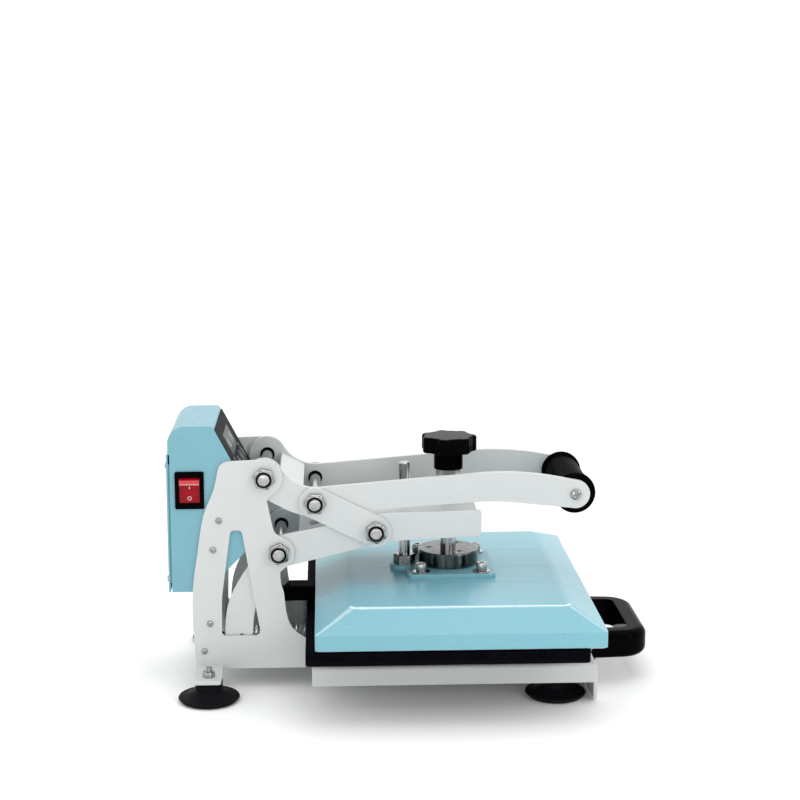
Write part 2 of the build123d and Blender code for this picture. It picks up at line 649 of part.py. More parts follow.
ROCKER_SIDE = Plane(
    origin=(BACK + SWITCH_C[0] - 8.75, ROCKER_AXIS_Y, SWITCH_C[1]), x_dir=(0, -1, 0), z_dir=(1, 0, 0)
)
with BuildPart() as rocker_switch:
    rise = 2.2  # the rocker's middle stands this far out of the axis
    ends = rise + ROCKER_R * sin(radians(ROCKER_TILT))
    with BuildSketch(ROCKER_SIDE):
        Circle(ROCKER_R)
        with BuildLine():
            Polyline((rise, 0), (ends, 14), (20, 14), (20, -14), (ends, -14), close=True)
        make_face(mode=Mode.SUBTRACT)
        with BuildLine():
            Polyline((-5.5, -14), (-5.5, 14), (-20, 14), (-20, -14), close=True)
        make_face(mode=Mode.SUBTRACT)
    extrude(amount=17.5)
with BuildPart() as rocker:
    pose = Axis((BACK, ROCKER_AXIS_Y, SWITCH_C[1]), (1, 0, 0))
    add(rocker_switch.part.rotate(pose, ROCKER_TILT))
keep(rocker, "rocker")

# ---- hot platen ---------------------------------------------------------------------------
cover_middle = (COVER_REAR + COVER_FRONT) / 2
cover_length = COVER_FRONT - COVER_REAR
CORNERS = [(ADAPTER_X + sx * SCREW_X, sy * SCREW_Y) for sx in (-1, 1) for sy in (-1, 1)]
REAR_RUN, FRONT_RUN, SIDE_RUN, COVER_T = 29.5, 26.0, 33.5, 1.5  # slopes seen from above

with BuildPart() as platen_cover:
    for inset, mode in ((0, Mode.ADD), (COVER_T, Mode.SUBTRACT)):
        length, width = cover_length - 2 * inset, 2 * (PLATEN_HALF_W - inset)
        with BuildSketch(level(LIP_LOW)):
            with Locations((cover_middle, 0)):
                RectangleRounded(length, width, 3.0)
        extrude(amount=LIP_HIGH - LIP_LOW - inset / 2, mode=mode)
        with BuildSketch(level(LIP_HIGH - inset / 2)):
            with Locations((cover_middle, 0)):
                RectangleRounded(length, width, 3.0)
        with BuildSketch(level(PLATEAU - inset)):
            with Locations((cover_middle + (REAR_RUN - FRONT_RUN) / 2, 0)):
                RectangleRounded(length - REAR_RUN - FRONT_RUN, width - 2 * SIDE_RUN, 8.0)
        loft(mode=mode)
        if mode == Mode.ADD:
            fillet(platen_cover.edges().group_by(Axis.Z)[-1], 16.0)
    with BuildSketch(level(PLATEAU)):
        with Locations(*CORNERS):
            Circle(2.7)
    extrude(amount=-3.0, mode=Mode.SUBTRACT)
keep(platen_cover, "platen_cover")

with BuildPart() as heat_plate:
    with BuildSketch(level(HEAT_LOW)):
        with Locations((cover_middle, 0)):
            RectangleRounded(cover_length - 3.6, 2 * PLATEN_HALF_W - 3.6, 2.0)
    extrude(amount=HEAT_HIGH - HEAT_LOW)
    chamfer(heat_plate.edges().group_by(Axis.Z)[0], 0.6)
    with BuildSketch(level(HEAT_HIGH)):
        with Locations(*CORNERS):
            Circle(2.55)
    extrude(amount=-7.0, mode=Mode.SUBTRACT)
keep(heat_plate, "heat_plate")

with BuildPart() as insulation:
    with BuildSketch(level(HEAT_HIGH)):
        with Locations((cover_middle, 0)):
            Rectangle(cover_length - 26, 2 * PLATEN_HALF_W - 26)
        with Locations(*CORNERS):
            Circle(6.2, mode=Mode.SUBTRACT)
    extrude(amount=6.0)
keep(insulation, "insulation")

with BuildPart() as cover_spacers:
    with BuildSketch(level(HEAT_HIGH)):
        with Locations(*CORNERS):
            Circle(6.0)
            Circle(2.6, mode=Mode.SUBTRACT)
    extrude(amount=PLATEAU - COVER_T - HEAT_HIGH)
keep(cover_spacers, "cover_spacers")

with BuildPart() as adapter_plate:
    with BuildSketch(level(PLATEAU)):
        with Locations((ADAPTER_X, 0)):
            RectangleRounded(77.0, 82.0, 6.0)
        with BuildLine():
            Polyline(
                (ADAPTER_X - 36, -22), (GUIDE_X + 2, -13), (GUIDE_X + 2, 13), (ADAPTER_X - 36, 22),
                close=True,
            )
        make_face()
        with Locations((GUIDE_X, 0)):
            Circle(12.8)
        with Locations(*CORNERS):
            Circle(2.7, mode=Mode.SUBTRACT)
    extrude(amount=ADAPTER_TOP - PLATEAU)
    with BuildSketch(level(ADAPTER_TOP)):
        with Locations((GUIDE_X, 0)):
            Circle(GUIDE_R)
    extrude(amount=-(ADAPTER_TOP - PLATEAU), mode=Mode.SUBTRACT)
    fillet(adapter_plate.faces().sort_by(Axis.Z)[-1].outer_wire().edges(), 0.6)
keep(adapter_plate, "adapter_plate")

with BuildPart() as adapter_washers:
    with BuildSketch(level(ADAPTER_TOP)):
        with Locations(*CORNERS):
            Circle(7.4)
            Circle(2.7, mode=Mode.SUBTRACT)
    extrude(amount=1.2)
keep(adapter_washers, "adapter_washers")

DISC_SCREWS = [on_circle((SPINDLE_X, 0), 17.0, angle) for angle in (60, 180, 300)]
with BuildPart() as swivel_disc:
    with BuildSketch(level(ADAPTER_TOP)):
        with Locations((SPINDLE_X, 0)):
            Circle(DISC_R - 2.0)
    extrude(amount=2.0)
    with BuildSketch(level(ADAPTER_TOP + 1.6)):
        with Locations((SPINDLE_X, 0)):
            Circle(DISC_R)
    extrude(amount=DISC_TOP - ADAPTER_TOP - 1.6)
    chamfer(swivel_disc.edges().group_by(Axis.Z)[-1], 0.7)
    with BuildSketch(level(DISC_TOP)):
        with Locations((SPINDLE_X, 0)):
            Circle(SPINDLE_R + RUN_FIT)
    extrude(amount=-(DISC_TOP - ADAPTER_TOP), mode=Mode.SUBTRACT)
    with BuildSketch(level(ADAPTER_TOP)):
        with Locations((SPINDLE_X, 0)):
            Circle(11.6)
    extrude(amount=4.6, mode=Mode.SUBTRACT)
    with BuildSketch(level(DISC_TOP)):
        with Locations(*DISC_SCREWS):
            Circle(3.9)
    extrude(amount=-2.2, mode=Mode.SUBTRACT)
keep(swivel_disc, "swivel_disc")

with BuildPart() as adapter_screws:
    head_low = ADAPTER_TOP + 1.2
    with BuildSketch(level(head_low)):
        with Locations(*CORNERS):
            Circle(4.7)
    extrude(amount=7.2)
    chamfer(adapter_screws.edges().group_by(Axis.Z)[-1], 0.5)
    with BuildSketch(level(head_low + 7.2)):
        with Locations(*CORNERS):
            RegularPolygon(radius=2.1, side_count=6, major_radius=False)
    extrude(amount=-3.4, mode=Mode.SUBTRACT)
    with BuildSketch(level(head_low)):
        with Locations(*CORNERS):
            Circle(2.5)
    extrude(amount=-(head_low - HEAT_HIGH + 6.0))
    with BuildSketch(level(DISC_TOP - 2.2)):
        with Locations(*DISC_SCREWS):
            Circle(3.85)
            RegularPolygon(radius=1.5, side_count=6, major_radius=False, mode=Mode.SUBTRACT)
    extrude(amount=1.9)
    with BuildSketch(level(DISC_TOP - 2.2)):
        with Locations(*DISC_SCREWS):
            Circle(3.85)
    extrude(amount=0.7)
keep(adapter_screws, "adapter_screws")

GUIDE_TOP = 188.2
with BuildPart() as guide_rod:
    with BuildSketch(level(PLATEAU)):
        with Locations((GUIDE_X, 0)):
            Circle(GUIDE_R)
    extrude(amount=GUIDE_TOP - PLATEAU)
    chamfer(guide_rod.edges().group_by(Axis.Z)[-1], 1.0)
keep(guide_rod, "guide_rod")

with BuildPart() as guide_rod_nut:
    with BuildSketch(level(ADAPTER_TOP)):
        with Locations((GUIDE_X, 0)):
            RegularPolygon(radius=8.5, side_count=6, major_radius=False)
    extrude(amount=8.4)
    chamfer(guide_rod_nut.edges().group_by(Axis.Z)[-1], 0.7)
    with BuildSketch(level(ADAPTER_TOP)):
        with Locations((GUIDE_X, 0)):
            Circle(GUIDE_R)
    extrude(amount=8.4, mode=Mode.SUBTRACT)
keep(guide_rod_nut, "guide_rod_nut")

BLOCK_REAR, BLOCK_LOW, BLOCK_TOP = 2.0, 64.6, 78.0
with BuildPart() as terminal_block:
    with BuildSketch(upright(11.0)):
        with BuildLine():
            Polyline(
                (COVER_REAR, BLOCK_LOW), (COVER_REAR, BLOCK_TOP - 3.2), (COVER_REAR - 1, BLOCK_TOP),
                (BLOCK_REAR + 6, BLOCK_TOP), (BLOCK_REAR, BLOCK_TOP - 5.5), (BLOCK_REAR, BLOCK_LOW),
                close=True,
            )
        make_face()
    extrude(amount=22.0)
    fillet(terminal_block.edges().filter_by(Axis.X), 1.5)
    with BuildSketch(across(BLOCK_REAR)):
        with Locations((0, 72.0)):
            Circle(4.6)
    extrude(amount=-4.0)
keep(terminal_block, "terminal_block")

# ---- pressure spindle and knob ------------------------------------------------------------
SPINDLE_FOOT, SPINDLE_TOP = ADAPTER_TOP + 0.15, 206.0
LOCK_NUT_LOW, KNOB_LOW, LOBE_LOW, KNOB_TOP = 174.6, 182.4, 198.0, 212.0
with BuildPart() as pressure_spindle:
    with BuildSketch(level(SPINDLE_FOOT)):
        with Locations((SPINDLE_X, 0)):
            Circle(11.3)
    extrude(amount=4.1)
    with BuildSketch(level(SPINDLE_FOOT)):
        with Locations((SPINDLE_X, 0)):
            Circle(SPINDLE_R)
    extrude(amount=SPINDLE_TOP - SPINDLE_FOOT)
    with BuildSketch(level(LOCK_NUT_LOW)):
        with Locations((SPINDLE_X, 0)):
            RegularPolygon(radius=9.5, side_count=6, major_radius=False)
    extrude(amount=7.5)
keep(pressure_spindle, "pressure_spindle")

with BuildPart() as pressure_knob:
    with BuildSketch(level(LOBE_LOW)):
        with Locations((SPINDLE_X, 0)):
            Circle(22.0)
            with PolarLocations(18.6, 7):
                Circle(6.4)
    extrude(amount=KNOB_TOP - LOBE_LOW)
    fillet(pressure_knob.edges().group_by(Axis.Z)[-1], 2.2)
    fillet(pressure_knob.edges().group_by(Axis.Z)[0], 1.6)
    with BuildSketch(level(KNOB_LOW)):
        with Locations((SPINDLE_X, 0)):
            Circle(12.8)
    extrude(amount=LOBE_LOW - KNOB_LOW)
    with BuildSketch(level(KNOB_LOW)):
        with Locations((SPINDLE_X, 0)):
            Circle(SPINDLE_R)
    extrude(amount=SPINDLE_TOP - KNOB_LOW, mode=Mode.SUBTRACT)
keep(pressure_knob, "pressure_knob")

# ---- drawer: lower platen, pad, runners, front plate and handle ---------------------------
drawer_middle = (DRAWER_REAR + DRAWER_FRONT) / 2
drawer_length = DRAWER_FRONT - DRAWER_REAR
PLATE_LOW, PLATE_TOP = 52.9, 55.9
FRONT_PLATE_X, FRONT_PLATE_T, FRONT_PLATE_LOW = 272.2, 2.5, 22.0

with BuildPart() as lower_platen:
    with BuildSketch(level(PLATE_LOW)):
        with Locations((drawer_middle, 0)):
            RectangleRounded(drawer_length, 2 * PLATEN_HALF_W, 4.0)
        with Locations(((DRAWER_FRONT - 10 + FRONT_PLATE_X) / 2, 0)):
            Rectangle(FRONT_PLATE_X - DRAWER_FRONT + 10, 116.0)
    extrude(amount=PLATE_TOP - PLATE_LOW)
    with BuildSketch(across(FRONT_PLATE_X)):
        with Locations((0, (FRONT_PLATE_LOW + PLATE_TOP) / 2)):
            Rectangle(116.0, PLATE_TOP - FRONT_PLATE_LOW)
        with Locations((-52.5, 33.0), (52.5, 33.0)):
            Circle(2.6, mode=Mode.SUBTRACT)
    extrude(amount=FRONT_PLATE_T)
keep(lower_platen, "lower_platen")

with BuildPart() as silicone_pad:
    with BuildSketch(level(PLATE_TOP)):
        with Locations((drawer_middle, 0)):
            RectangleRounded(drawer_length, 2 * PLATEN_HALF_W, 4.0)
    extrude(amount=PAD_TOP - PLATE_TOP)
    fillet(silicone_pad.edges().group_by(Axis.Z)[-1], 1.2)
keep(silicone_pad, "silicone_pad")

RAIL_FRONT, RUNNER_FRONT = 264.0, 250.0
with BuildPart() as drawer_rails:
    with BuildSketch(across(BASE_REAR + 2)):
        with BuildLine():
            Polyline(
                (-60.0, BASE_TOP), (-74.0, BASE_TOP), (-74.0, 48.5),
                (-66.0, 48.5), (-66.0, 46.5), (-72.0, 46.5),
                (-72.0, BASE_TOP + 2), (-60.0, BASE_TOP + 2), close=True,
            )
        make_face()
    extrude(amount=RAIL_FRONT - BASE_REAR - 2)
    mirror(about=Plane.XZ)
keep(drawer_rails, "drawer_rails")

with BuildPart() as drawer_runners:
    with BuildSketch(across(DRAWER_REAR + 7)):
        with BuildLine():
            Polyline(
                (-60.5, BASE_TOP + 2.4), (-71.6, BASE_TOP + 2.4), (-71.6, 46.1),
                (-65.6, 46.1), (-65.6, PLATE_LOW),
                (-60.5, PLATE_LOW), close=True,
            )
        make_face()
    extrude(amount=RUNNER_FRONT - DRAWER_REAR - 7)
    mirror(about=Plane.XZ)
keep(drawer_runners, "drawer_runners")

HANDLE_LOW, HANDLE_TOP = 22.0, 46.5
HANDLE_REAR = FRONT_PLATE_X + FRONT_PLATE_T
with BuildPart() as drawer_handle:
    with BuildSketch(level(HANDLE_LOW)):
        with BuildLine():
            FilletPolyline(
                (HANDLE_REAR, -HANDLE_HALF_W), (HANDLE_FRONT, -HANDLE_HALF_W + 4),
                (HANDLE_FRONT, HANDLE_HALF_W - 4),
                (HANDLE_REAR, HANDLE_HALF_W), radius=[0, 24, 24, 0], close=True,
            )
        make_face()
    extrude(amount=HANDLE_TOP - HANDLE_LOW)
    rear_edges = drawer_handle.faces().sort_by(Axis.X)[0].edges()
    rounded = drawer_handle.faces().filter_by(Axis.Z).edges() - rear_edges
    fillet(rounded, 7.0)
    with BuildSketch(level(HANDLE_LOW)):
        with BuildLine():
            FilletPolyline(
                (HANDLE_REAR - 1, -43.0), (306.0, -42.0), (306.0, 42.0), (HANDLE_REAR - 1, 43.0),
                radius=[0, 8, 8, 0], close=True,
            )
        make_face()
    extrude(amount=HANDLE_TOP - HANDLE_LOW, mode=Mode.SUBTRACT)
    with BuildSketch(across(HANDLE_REAR)):
        with Locations((-52.5, 33.0), (52.5, 33.0)):
            Circle(2.1)
    extrude(amount=14.0, mode=Mode.SUBTRACT)
keep(drawer_handle, "drawer_handle")

BEHIND_FRONT_PLATE = Plane(origin=(BACK + FRONT_PLATE_X, 0, 0), x_dir=(0, -1, 0), z_dir=(-1, 0, 0))
with BuildPart() as handle_screws:
    pan_screw(BEHIND_FRONT_PLATE, [(-52.5, 33.0), (52.5, 33.0)], 4.6, 1.9, 2.1, 15.0)
keep(handle_screws, "handle_screws")

# ---- lift-assist springs and their anchor bracket -----------------------------------------
with BuildPart() as spring_anchor:
    with BuildSketch(across(ANCHOR_X)):
        with Locations((0, BASE_TOP + 8.0)):
            Rectangle(104.0, 16.0)
        with Locations((-SPRING_Y, SPRING_Z), (SPRING_Y, SPRING_Z)):
            Circle(2.2, mode=Mode.SUBTRACT)
    extrude(amount=3.0)
    with BuildSketch(level(BASE_TOP)):
        with Locations((ANCHOR_X + 9.0, 0)):
            Rectangle(18.0, 104.0)
    extrude(amount=3.0)
keep(spring_anchor, "spring_anchor")

COIL_REAR, COIL_FRONT = HOOK[0] + 9.0, ANCHOR_X - 9.0
with BuildPart() as lift_springs:
    for y in (-SPRING_Y, SPRING_Y):
        with BuildSketch(across(COIL_REAR)):
            with Locations((y, SPRING_Z)):
                Circle(SPRING_R)
                Circle(SPRING_R - 2.0, mode=Mode.SUBTRACT)
        extrude(amount=COIL_FRONT - COIL_REAR)
        for start, length in ((COIL_REAR - 7.5, 10.0), (COIL_FRONT - 2.5, 9.4)):
            with BuildSketch(across(start)):
                with Locations((y, SPRING_Z + SPRING_R - 1.0)):
                    Circle(1.0)
            extrude(amount=length)
keep(lift_springs, "lift_springs")
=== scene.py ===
"""Looks of the tabletop heat press.

Materials for the CAD nodes, then fine hardware, springs and marks as mesh pieces, then floor, light and camera.
"""

import json
import math

import bpy
from mathutils import Matrix, Vector


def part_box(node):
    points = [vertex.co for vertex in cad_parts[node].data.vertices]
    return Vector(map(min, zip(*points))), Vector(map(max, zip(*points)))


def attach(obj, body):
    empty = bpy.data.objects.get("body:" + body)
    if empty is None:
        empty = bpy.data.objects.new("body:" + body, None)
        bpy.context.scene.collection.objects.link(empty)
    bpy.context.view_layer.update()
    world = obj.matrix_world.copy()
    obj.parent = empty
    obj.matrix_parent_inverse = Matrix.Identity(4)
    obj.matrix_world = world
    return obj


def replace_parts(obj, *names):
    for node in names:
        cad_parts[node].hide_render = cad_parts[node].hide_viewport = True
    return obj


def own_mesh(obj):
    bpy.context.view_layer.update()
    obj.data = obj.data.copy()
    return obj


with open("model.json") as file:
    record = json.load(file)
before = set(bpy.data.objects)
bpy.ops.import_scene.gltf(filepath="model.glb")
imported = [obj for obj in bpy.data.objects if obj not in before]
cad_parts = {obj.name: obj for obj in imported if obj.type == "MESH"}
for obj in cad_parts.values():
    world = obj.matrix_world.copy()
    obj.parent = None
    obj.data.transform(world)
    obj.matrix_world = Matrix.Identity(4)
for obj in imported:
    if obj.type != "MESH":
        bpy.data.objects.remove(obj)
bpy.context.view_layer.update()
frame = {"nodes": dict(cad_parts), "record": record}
nodes = frame["nodes"]

# ---- places, in millimetres from the lower pivot axis and the floor, as in the CAD source --------------
BACK = -112.5
LOWER_PIVOT, UPPER_PIVOT = (0, 120.5), (-12, 186.5)
CRANK_PIVOT, LINK_PIVOT = (31.2, 164.3), (83.4, 138.4)
GRIP_CENTRE = (256.3, 168.9)
PLATE_OUT, ARM_OUT, ARM_IN = 53.6, 50.2, 46.1  # outer face of the side plates, outer and inner face of the arms
SIDE_SCREWS = [(-51.0, 149.6), (-56.4, 123.9), (-60.0, 58.4), (-65.3, 33.7)]
COVER_SCREWS = [(-42.0, 196.0), (42.0, 196.0), (-42.0, 96.0), (42.0, 96.0)]
HANDLE_SCREWS = [(-52.5, 33.0), (52.5, 33.0)]
NEAR, FAR = -1, 1
MM = 0.001


def at(x, y, z):
    """A point of the machine, from millimetres to metres."""
    return Vector((BACK + x, y, z)) / 1000


def facing(origin, outward, across):
    """Placement whose local z points outward and whose local x points across."""
    z, x = Vector(outward).normalized(), Vector(across).normalized()
    y = z.cross(x)
    turn = Matrix((x, y, z)).transposed().to_4x4()
    return Matrix.Translation(origin) @ turn @ Matrix.Scale(MM, 4)


def upright(x, y, z):
    """Placement at a point of the machine, looking up."""
    return facing(at(x, y, z), (0, 0, 1), (1, 0, 0))


def side_face(point, side, half_width):
    """Placement on the near or far flank of the machine, looking out."""
    return facing(at(point[0], side * half_width, point[1]), (0, side, 0), (-side, 0, 0))


# ---- materials ------------------------------------------------------------------------------------------
# Half width, fade and depth of the painted shade lines along the cover's creases.
CREASE_HALF, CREASE_FADE, CREASE_PAINTED_SHADE = 0.0002, 0.0009, -0.36
# Colour of the painted highlight on the cover's near top edge.
RIDGE_HIGHLIGHT_COLOUR = (0.72, 0.84, 0.87)


def surface(name, colour, rough, metallic=0.0, mottle=0.05, mottle_scale=35.0, grain=0.15, grain_scale=1800.0,
            grain_depth=0.00006, rough_vary=0.06, stretch=(1, 1, 1), edge=0.0006, edge_highlight=0.0, painted_crease_shade=(),
            shine=0.5, ridge_highlight=0.0, ior=1.5):
    """A procedural material: mottled colour, fine grain in the bump, uneven gloss, softened edges with a painted
    highlight.

    Lengths are in metres. A crease is a line of painted shade at constant y. A ridge value above 0 paints a
    highlight onto the rounded edge between a flat top and its near slope.
    """
    made = bpy.data.materials.new(name)
    made.use_nodes = True
    made.diffuse_color = (*colour, 1)
    tree = made.node_tree
    link = tree.links.new
    shader = tree.nodes["Principled BSDF"]
    shader.inputs["Metallic"].default_value = metallic
    shader.inputs["Specular IOR Level"].default_value = shine
    shader.inputs["IOR"].default_value = ior
    place = tree.nodes.new("ShaderNodeTexCoord")
    mapping = tree.nodes.new("ShaderNodeMapping")
    mapping.inputs["Scale"].default_value = stretch
    link(place.outputs["Object"], mapping.inputs["Vector"])

    def noise(scale, detail):
        node = tree.nodes.new("ShaderNodeTexNoise")
        node.inputs["Scale"].default_value = scale
        node.inputs["Detail"].default_value = detail
        link(mapping.outputs["Vector"], node.inputs["Vector"])
        return node.outputs["Fac"]

    def remap(source, low, high, start=0.3, end=0.7):
        node = tree.nodes.new("ShaderNodeMapRange")
        node.inputs["From Min"].default_value = start
        node.inputs["From Max"].default_value = end
        node.inputs["To Min"].default_value = low
        node.inputs["To Max"].default_value = high
        link(source, node.inputs["Value"])
        return node.outputs["Result"]

    def mixed(factor, first, second):
        node = tree.nodes.new("ShaderNodeMix")
        node.data_type = "RGBA"
        link(factor, node.inputs["Factor"])
        for socket, value in (("A", first), ("B", second)):
            target = [s for s in node.inputs if s.name == socket and s.type == "RGBA"][0]
            if isinstance(value, tuple):
                target.default_value = (*value, 1)
            else:
                link(value, target)
        return [s for s in node.outputs if s.type == "RGBA"][0]

    def shade(amount):
        return tuple(min(1.0, max(0.0, c * (1 + amount))) for c in colour)

    tint = mixed(remap(noise(mottle_scale, 4), 0, 1), shade(-mottle), shade(mottle))
    tint = mixed(remap(noise(grain_scale, 2), 0, 0.5), tint, shade(-2.2 * mottle))
    bevel = tree.nodes.new("ShaderNodeBevel")
    bevel.samples = 4
    bevel.inputs["Radius"].default_value = edge
    # Painted highlight: edges found by the bevel normal are lightened by this fraction, as if they caught the
    # light.
    if edge_highlight:
        geometry = tree.nodes.new("ShaderNodeNewGeometry")
        compare = tree.nodes.new("ShaderNodeVectorMath")
        compare.operation = "DOT_PRODUCT"
        link(bevel.outputs["Normal"], compare.inputs[0])
        link(geometry.outputs["True Normal"], compare.inputs[1])
        tint = mixed(remap(compare.outputs["Value"], 1, 0, 0.80, 0.995), tint, shade(edge_highlight))
    height = noise(grain_scale, 3)
    # Painted shade: darker lines along the creases of the cover sheet, where shade would fall.
    if painted_crease_shade:
        split = tree.nodes.new("ShaderNodeSeparateXYZ")
        link(place.outputs["Object"], split.inputs["Vector"])
        for line in painted_crease_shade:
            offset = tree.nodes.new("ShaderNodeMath")
            offset.operation = "SUBTRACT"
            link(split.outputs["Y"], offset.inputs[0])
            offset.inputs[1].default_value = line
            size = tree.nodes.new("ShaderNodeMath")
            size.operation = "ABSOLUTE"
            link(offset.outputs[0], size.inputs[0])
            band = remap(size.outputs[0], 0.9, 0, CREASE_HALF, CREASE_FADE)
            tint = mixed(band, tint, shade(CREASE_PAINTED_SHADE))
    # Painted highlight: a pale band on the rounded near edge of a flat top, where the light would catch it.
    if ridge_highlight:
        bend = tree.nodes.new("ShaderNodeSeparateXYZ")
        link(tree.nodes.new("ShaderNodeNewGeometry").outputs["Normal"], bend.inputs["Vector"])
        bands = [remap(bend.outputs["Z"], 0, 1, 0.950, 0.975), remap(bend.outputs["Z"], 1, 0, 0.985, 0.997),
                 remap(bend.outputs["Y"], ridge_highlight, 0, -0.06, -0.01)]
        product = bands[0]
        for band in bands[1:]:
            times = tree.nodes.new("ShaderNodeMath")
            times.operation = "MULTIPLY"
            link(product, times.inputs[0])
            link(band, times.inputs[1])
            product = times.outputs[0]
        tint = mixed(product, tint, RIDGE_HIGHLIGHT_COLOUR)
    link(tint, shader.inputs["Base Color"])
    link(remap(noise(mottle_scale * 5, 3), rough - rough_vary, rough + rough_vary), shader.inputs["Roughness"])
    bump = tree.nodes.new("ShaderNodeBump")
    bump.inputs["Strength"].default_value = grain
    bump.inputs["Distance"].default_value = grain_depth
    link(height, bump.inputs["Height"])
    link(bevel.outputs["Normal"], bump.inputs["Normal"])
    link(bump.outputs["Normal"], shader.inputs["Normal"])
    return made


# Most finishes below lighten their edges with a painted highlight.
WHITE = surface("white_coat", (0.545, 0.565, 0.56), 0.42, mottle=0.015, grain=0.35, grain_scale=900, edge=0.0007,
                edge_highlight=0.6, shine=0.3)
BLUE = surface("blue_coat", (0.165, 0.37, 0.44), 0.36, mottle=0.03, grain=0.25, grain_scale=900, edge=0.0009,
               edge_highlight=0.45, shine=0.35)
# The cover has painted shade lines along its creases and a painted highlight along its near top edge.
BLUE_COVER = surface("blue_cover", (0.19, 0.415, 0.49), 0.26, mottle=0.05, mottle_scale=9, grain=0.10,
                     grain_scale=900, rough_vary=0.015, stretch=(0.35, 1, 1), edge=0.0012, edge_highlight=0.5,
                     ior=1.3, painted_crease_shade=(0.054, -0.002, -0.051), ridge_highlight=0.85)
ZINC = surface("plated_steel", (0.40, 0.40, 0.395), 0.12, 1.0, mottle=0.22, mottle_scale=420, grain=0.2,
               grain_scale=2600, rough_vary=0.04, edge=0.0003, edge_highlight=0.3)
STEEL = surface("polished_steel", (0.40, 0.40, 0.39), 0.13, 1.0, mottle=0.08, mottle_scale=60, grain=0.2,
                grain_scale=900, stretch=(1, 1, 14), rough_vary=0.04, edge=0.0005, edge_highlight=0.5)
TURNED = surface("turned_steel", (0.10, 0.105, 0.102), 0.17, 1.0, mottle=0.55, mottle_scale=150, grain=0.2,
                 grain_scale=420, stretch=(1, 1, 0.06), rough_vary=0.04, edge=0.0007, edge_highlight=4.0)
DARK_STEEL = surface("dark_steel", (0.27, 0.265, 0.26), 0.24, 1.0, mottle=0.15, mottle_scale=120, grain=0.3,
                     edge=0.0006, edge_highlight=1.2)
SPRING = surface("spring_steel", (0.85, 0.85, 0.85), 0.30, 1.0, mottle=0.1, mottle_scale=120, grain=0.2,
                 edge=0.0002)
RUBBER = surface("black_rubber", (0.006, 0.006, 0.008), 0.55, mottle=0.25, mottle_scale=60, grain=0.4,
                 grain_scale=1200, edge=0.0008, edge_highlight=0.8, ior=1.12)
PAD = surface("silicone_pad", (0.0025, 0.0027, 0.0045), 0.60, mottle=0.3, mottle_scale=90, grain=0.5,
              grain_scale=1500, edge=0.0008, edge_highlight=0.6, ior=1.05)
GLOSS_BLACK = surface("black_gloss", (0.0012, 0.0012, 0.0015), 0.10, mottle=0.2, grain=0.04, grain_scale=500,
                      rough_vary=0.03, edge=0.0012, ior=1.07)
BLACK = surface("black_plastic", (0.0025, 0.0025, 0.003), 0.30, mottle=0.25, mottle_scale=50, grain=0.35,
                grain_scale=1600, edge=0.0006, edge_highlight=1.0, ior=1.02)
BLACK_COAT = surface("black_coat", (0.003, 0.003, 0.005), 0.45, mottle=0.2, grain=0.3, grain_scale=900,
                     edge=0.0006, edge_highlight=1.2, ior=1.06)
FILM = surface("panel_film", (0.030, 0.031, 0.033), 0.5, mottle=0.08, grain=0.2, grain_scale=1400, edge=0.0003,
               ior=1.04)
WINDOW = surface("window_film", (0.075, 0.085, 0.085), 0.3, mottle=0.12, mottle_scale=50, grain=0.05, edge=0.0002,
                 ior=1.10)
BOARD = surface("board", (0.010, 0.10, 0.035), 0.5, mottle=0.3, mottle_scale=300, grain=0.3, edge=0.0003)
RED = surface("red_plastic", (0.27, 0.001, 0.008), 0.24, mottle=0.10, mottle_scale=90, grain=0.08, edge=0.0005,
              edge_highlight=0.6, shine=0.15)
# Lighter red for the painted highlight on the rocker's raised upper end.
RED_HIGHLIGHT = surface("red_painted_highlight", (0.62, 0.035, 0.045), 0.22, mottle=0.08, grain=0.08, edge=0.0002)
KEY = surface("key_caps", (0.13, 0.135, 0.14), 0.45, mottle=0.08, grain=0.3, edge=0.0004, shine=0.3)
ALUMINIUM = surface("bare_aluminium", (0.60, 0.61, 0.62), 0.34, 1.0, mottle=0.06, mottle_scale=25, grain=0.4,
                    grain_scale=500, stretch=(9, 1, 1), edge=0.0006, edge_highlight=0.3)
WOOL = surface("mineral_wool", (0.42, 0.37, 0.28), 0.9, mottle=0.25, mottle_scale=400, grain=0.9, grain_scale=900,
               grain_depth=0.0004)
# Pale print, also used for the painted highlight line along the rocker's upper edge.
PALE_INK_AND_HIGHLIGHT = surface("pale_ink_and_highlight", (0.60, 0.62, 0.62), 0.5, mottle=0.05, grain=0.1, edge=0.0001)
NYLON = surface("nylon_ring", (0.004, 0.004, 0.005), 0.35, mottle=0.2, grain=0.2, edge=0.0003, ior=1.1)

FINISHES = {
    "white_coat": WHITE, "blue_coat": BLUE, "plated_steel": ZINC, "polished_steel": STEEL,
    "dark_steel": DARK_STEEL, "spring_steel": SPRING, "black_rubber": RUBBER, "black_gloss": GLOSS_BLACK,
    "black_plastic": BLACK, "black_coat": BLACK_COAT, "panel_film": FILM, "window_film": WINDOW, "board": BOARD,
    "red_plastic": RED, "key_rubber": KEY, "bare_aluminium": ALUMINIUM, "mineral_wool": WOOL,
}
SPECIAL = {"platen_cover": BLUE_COVER, "swivel_disc": TURNED, "silicone_pad": PAD, "pressure_knob": GLOSS_BLACK}

for part in frame["record"]["subparts"]:
    node = nodes[part["node"]]
    node.data.materials.clear()
    node.data.materials.append(SPECIAL.get(part["node"], FINISHES[part["material_slot"]]))


